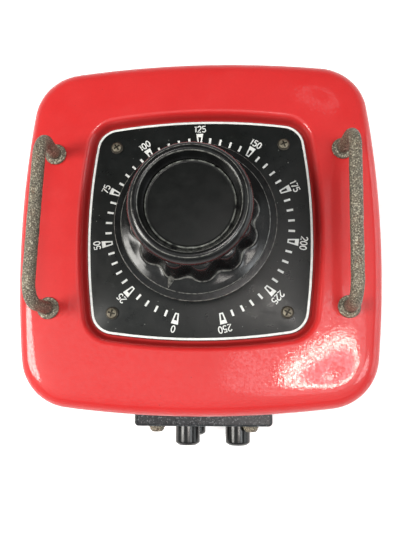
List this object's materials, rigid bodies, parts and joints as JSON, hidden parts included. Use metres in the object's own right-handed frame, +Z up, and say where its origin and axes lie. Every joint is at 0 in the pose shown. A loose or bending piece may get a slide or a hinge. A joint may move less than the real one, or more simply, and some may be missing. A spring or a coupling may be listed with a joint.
{
  "type": "variable autotransformer",
  "caption": "Square red bench variac with a scalloped voltage knob over a round dial, two hoop handles and a front terminal block.",
  "frame": {"origin": "on the ground under the centre of the bounding box", "axes": "+Z up along the shaft, -Y out of the terminal side, +X to the right when facing the terminals"},
  "size_m": [0.2416, 0.263, 0.22],
  "materials": {
    "red_enamel": "glossy red stove enamel with light wear",
    "black_enamel": "satin black enamel with printed white scale",
    "bakelite": "polished black bakelite",
    "block_resin": "dark grey moulded resin with a fine grain",
    "rusty_steel": "dull plated steel, rusted brown",
    "plain_steel": "plain zinc plated steel",
    "brass": "turned brass, tarnished",
    "copper": "enamelled copper wire",
    "core_steel": "wound silicon steel strip, lacquered",
    "aluminium": "cast aluminium",
    "insulator": "brown phenolic board",
    "carbon": "electrographite",
    "rubber": "black rubber"
  },
  "bodies": {
    "case": {"top_cover": "red_enamel", "side_casing": "red_enamel", "case_screw_rear_left": "plain_steel", "case_screw_front_left": "plain_steel", "case_screw_rear_right": "plain_steel", "case_screw_front_right": "plain_steel", "base_pan": "red_enamel", "foot_rear_left": "rubber", "foot_front_left": "rubber", "foot_rear_right": "rubber", "foot_front_right": "rubber", "dial_plate": "black_enamel", "dial_screw_rear_left": "rusty_steel", "dial_screw_front_left": "rusty_steel", "dial_screw_rear_right": "rusty_steel", "dial_screw_front_right": "rusty_steel", "handle_left": "rusty_steel", "handle_right": "rusty_steel", "handle_washer_rear_left": "rusty_steel", "handle_nut_rear_left": "rusty_steel", "handle_washer_front_left": "rusty_steel", "handle_nut_front_left": "rusty_steel", "handle_washer_rear_right": "rusty_steel", "handle_nut_rear_right": "rusty_steel", "handle_washer_front_right": "rusty_steel", "handle_nut_front_right": "rusty_steel", "terminal_block": "block_resin", "terminal_stud_upper_left": "brass", "terminal_stud_upper_right": "brass", "terminal_stud_lower_left": "brass", "terminal_stud_lower_right": "brass", "block_screw_upper_left": "rusty_steel", "block_screw_upper_right": "rusty_steel", "block_screw_lower_left": "rusty_steel", "block_screw_lower_right": "rusty_steel", "toroid_core": "core_steel", "winding": "copper", "coil_base_ring": "insulator", "coil_top_ring": "insulator", "stop_block": "insulator", "bottom_bearing": "brass", "top_bearing": "brass"},
    "rotor": {"shaft": "plain_steel", "knob": "bakelite", "knob_set_screw": "plain_steel", "knob_cap": "black_enamel", "brush_arm": "aluminium", "brush_holder": "brass", "stop_pin": "plain_steel"},
    "brush": {"carbon_brush": "carbon", "brush_spring": "plain_steel"},
    "terminal_cap_upper_left_body": {"terminal_cap_upper_left": "bakelite"},
    "terminal_cap_upper_right_body": {"terminal_cap_upper_right": "bakelite"},
    "terminal_cap_lower_left_body": {"terminal_cap_lower_left": "bakelite"},
    "terminal_cap_lower_right_body": {"terminal_cap_lower_right": "bakelite"}
  },
  "joints": [
    {"name": "rotor_turn", "type": "hinge", "parent": "case", "child": "rotor", "pos_m": [0, 0.0134, 0.2], "axis": [0, 0, -1], "range_deg": [-6, 325]},
    {"name": "brush_lift", "type": "slide", "parent": "rotor", "child": "brush", "axis": [0, 0, 1], "range_m": [0, 0.004], "stiffness_N_per_m": 500, "springref_m": -0.004, "deforming": ["brush_spring"]},
    {"name": "terminal_open_upper_left", "type": "slide", "parent": "case", "child": "terminal_cap_upper_left_body", "axis": [0, -1, 0], "range_m": [0, 0.006]},
    {"name": "terminal_open_upper_right", "type": "slide", "parent": "case", "child": "terminal_cap_upper_right_body", "axis": [0, -1, 0], "range_m": [0, 0.006]},
    {"name": "terminal_open_lower_left", "type": "slide", "parent": "case", "child": "terminal_cap_lower_left_body", "axis": [0, -1, 0], "range_m": [0, 0.006]},
    {"name": "terminal_open_lower_right", "type": "slide", "parent": "case", "child": "terminal_cap_lower_right_body", "axis": [0, -1, 0], "range_m": [0, 0.006]}
  ]
}
